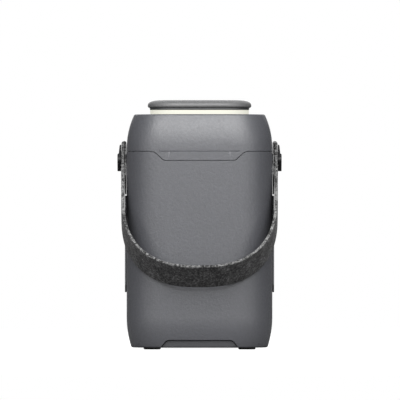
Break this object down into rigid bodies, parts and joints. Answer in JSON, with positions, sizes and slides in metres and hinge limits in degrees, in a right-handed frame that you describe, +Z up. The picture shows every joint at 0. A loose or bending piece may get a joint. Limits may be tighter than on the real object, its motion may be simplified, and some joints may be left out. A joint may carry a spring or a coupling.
{
  "type": "portable power station",
  "caption": "Upright rounded power station with a pop-up lamp on top, a display, buttons and sockets on the front, side grilles and a webbing carry strap that swings over the top.",
  "frame": {"origin": "on the ground under the middle of the case, between the four feet", "axes": "+Z up along the height of the case, +Y out of the front with the ports, -Y out of the plain back that the strap leans on, +X to the right when looking at the back"},
  "size_m": [0.1366, 0.1472, 0.2068],
  "materials": {
    "case_plastic": "fine spark-eroded texture, slightly blue-grey",
    "cap_plastic": "fine spark-eroded texture",
    "grille_plastic": "fine texture, a shade darker than the case",
    "black_plastic": "smooth satin black",
    "dark_plastic": "satin dark grey",
    "base_plastic": "fine texture, dark grey",
    "panel_glass": "smoked window, gloss",
    "foot_rubber": "matte soft rubber",
    "webbing": "heathered woven webbing",
    "diffuser": "milky, lit from inside",
    "steel": "bright steel",
    "nickel": "nickel-plated",
    "contact_brass": "bright brass",
    "socket_yellow": "moulded amber nylon",
    "circuit_board": "green solder mask",
    "cell_wrap": "blue film-wrapped cell",
    "pack_plastic": "black insulating plate",
    "sink_aluminium": "extruded"
  },
  "bodies": {
    "case": {"rear_shell": "case_plastic", "front_shell": "case_plastic", "top_cover": "case_plastic", "base_cover": "base_plastic", "foot_rear_left": "foot_rubber", "foot_rear_right": "foot_rubber", "foot_front_left": "foot_rubber", "foot_front_right": "foot_rubber", "side_grille_left": "grille_plastic", "side_grille_right": "grille_plastic", "front_fascia": "black_plastic", "display_window": "panel_glass", "display_module": "dark_plastic", "control_board": "circuit_board", "usb_c_port_1": "nickel", "usb_c_port_2": "nickel", "usb_c_port_3": "nickel", "usb_c_port_4": "nickel", "usb_a_port_1": "nickel", "usb_a_port_2": "nickel", "car_socket_barrel": "nickel", "car_socket_contact": "contact_brass", "car_socket_pin": "steel", "dc_input_socket": "socket_yellow", "dc_input_contacts": "contact_brass", "dc_input_pin": "steel", "strap_anchor_left": "steel", "strap_anchor_right": "steel", "strap_screw_left": "black_plastic", "strap_screw_right": "black_plastic", "lamp_tray": "dark_plastic", "lamp_latch": "black_plastic", "lamp_spring": "steel", "battery_cells": "cell_wrap", "pack_plate_lower": "pack_plastic", "pack_plate_upper": "pack_plastic", "pack_bands": "steel", "busbars": "contact_brass", "bms_board": "circuit_board", "main_board": "circuit_board", "board_components": "dark_plastic", "heat_sink": "sink_aluminium", "fan_frame": "black_plastic", "base_screws": "steel", "board_screws": "steel", "tray_screws": "steel"},
    "lamp": {"lamp_cap": "cap_plastic", "lamp_trim_ring": "dark_plastic", "lamp_diffuser": "diffuser", "lamp_board": "circuit_board", "lamp_carrier": "dark_plastic"},
    "strap": {"strap_webbing": "webbing", "strap_hook_left": "black_plastic", "strap_hook_right": "black_plastic"},
    "power_key": {"power_button": "dark_plastic"},
    "lamp_key": {"lamp_button": "dark_plastic"},
    "output_key": {"output_button": "dark_plastic"},
    "car_cover": {"car_socket_cover": "dark_plastic"},
    "dc_cover": {"dc_input_cover": "dark_plastic"},
    "fan": {"fan_rotor": "dark_plastic"}
  },
  "joints": [
    {"name": "lamp_slide", "type": "slide", "parent": "case", "child": "lamp", "axis": [0, 0, 1], "range_m": [-0.0068, 0], "stiffness_N_per_m": 150, "springref_m": 0.014, "deforming": ["lamp_spring"]},
    {"name": "strap_swing", "type": "hinge", "parent": "case", "child": "strap", "pos_m": [0, 0, 0.158], "axis": [-1, 0, 0], "range_deg": [0, 284.2]},
    {"name": "power_press", "type": "slide", "parent": "case", "child": "power_key", "axis": [0, -1, 0], "range_m": [0, 0.0008], "stiffness_N_per_m": 500, "springref_m": -0.0006},
    {"name": "lamp_press", "type": "slide", "parent": "case", "child": "lamp_key", "axis": [0, -1, 0], "range_m": [0, 0.0008], "stiffness_N_per_m": 500, "springref_m": -0.0006},
    {"name": "output_press", "type": "slide", "parent": "case", "child": "output_key", "axis": [0, -1, 0], "range_m": [0, 0.0008], "stiffness_N_per_m": 500, "springref_m": -0.0006},
    {"name": "car_cover_hinge", "type": "hinge", "parent": "case", "child": "car_cover", "pos_m": [-0.015, 0.0579, 0.0651], "axis": [1, 0, 0], "range_deg": [0, 115]},
    {"name": "dc_cover_hinge", "type": "hinge", "parent": "case", "child": "dc_cover", "pos_m": [0.017, 0.0579, 0.0591], "axis": [1, 0, 0], "range_deg": [0, 122]},
    {"name": "fan_spin", "type": "hinge", "parent": "case", "child": "fan", "pos_m": [0.0525, 0, 0.08749], "axis": [1, 0, 0], "continuous": true}
  ]
}
